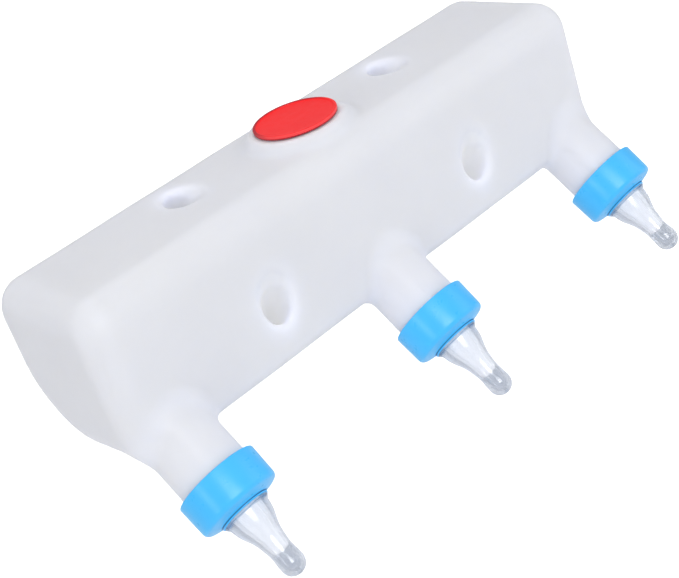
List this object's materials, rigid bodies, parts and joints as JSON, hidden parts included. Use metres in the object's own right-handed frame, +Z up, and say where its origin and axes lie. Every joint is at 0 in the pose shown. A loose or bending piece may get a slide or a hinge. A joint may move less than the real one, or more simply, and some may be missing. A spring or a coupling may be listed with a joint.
{
  "type": "multi teat milk feeder",
  "caption": "Trough-shaped gravity milk feeder tank with forward-sloping threaded necks, screw collars, soft teats with hard inner cores, a push-in fill plug and hanging tunnels.",
  "frame": {"origin": "on the tank's flat back face, at mid length and about mid height of the flat area", "axes": "+X along the tank towards its right end seen from the teats, +Y out of the back face, +Z up towards the fill plug; the teats point along -Y and down"},
  "size_m": [0.34, 0.1478, 0.1459],
  "materials": {
    "tank_plastic": "milky translucent polyethylene, satin",
    "plug_plastic": "soft red polyethylene, satin gloss",
    "collar_plastic": "sky blue polypropylene, gloss",
    "teat_silicone": "clear silicone rubber, gloss",
    "core_plastic": "opaque white plastic, satin"
  },
  "bodies": {
    "tank_body": {"tank": "tank_plastic"},
    "plug_body": {"fill_plug": "plug_plastic"},
    "teat_set_left": {"teat_left": "teat_silicone", "teat_core_left": "core_plastic"},
    "collar_left": {"screw_collar_left": "collar_plastic"},
    "teat_set_centre": {"teat_centre": "teat_silicone", "teat_core_centre": "core_plastic"},
    "collar_centre": {"screw_collar_centre": "collar_plastic"},
    "teat_set_right": {"teat_right": "teat_silicone", "teat_core_right": "core_plastic"},
    "collar_right": {"screw_collar_right": "collar_plastic"}
  },
  "joints": [
    {"name": "plug_pull", "type": "slide", "parent": "tank_body", "child": "plug_body", "axis": [0, 0, 1], "range_m": [0, 0.035]},
    {"name": "teat_lift_left", "type": "slide", "parent": "tank_body", "child": "teat_set_left", "axis": [0, -0.7314, -0.682], "range_m": [0, 0.006]},
    {"name": "collar_turn_left", "type": "hinge", "parent": "teat_set_left", "child": "collar_left", "pos_m": [-0.146, -0.0874, -0.0532], "axis": [0, -0.7314, -0.682], "range_deg": [0, 540]},
    {"name": "teat_lift_centre", "type": "slide", "parent": "tank_body", "child": "teat_set_centre", "axis": [0, -0.7314, -0.682], "range_m": [0, 0.006]},
    {"name": "collar_turn_centre", "type": "hinge", "parent": "teat_set_centre", "child": "collar_centre", "pos_m": [0, -0.0874, -0.0532], "axis": [0, -0.7314, -0.682], "range_deg": [0, 540]},
    {"name": "teat_lift_right", "type": "slide", "parent": "tank_body", "child": "teat_set_right", "axis": [0, -0.7314, -0.682], "range_m": [0, 0.006]},
    {"name": "collar_turn_right", "type": "hinge", "parent": "teat_set_right", "child": "collar_right", "pos_m": [0.146, -0.0874, -0.0532], "axis": [0, -0.7314, -0.682], "range_deg": [0, 540]}
  ],
  "couplings": [
    {"joint": "teat_lift_left", "follows": "collar_turn_left", "m_per_rad": 0.0006366},
    {"joint": "teat_lift_centre", "follows": "collar_turn_centre", "m_per_rad": 0.0006366},
    {"joint": "teat_lift_right", "follows": "collar_turn_right", "m_per_rad": 0.0006366}
  ]
}
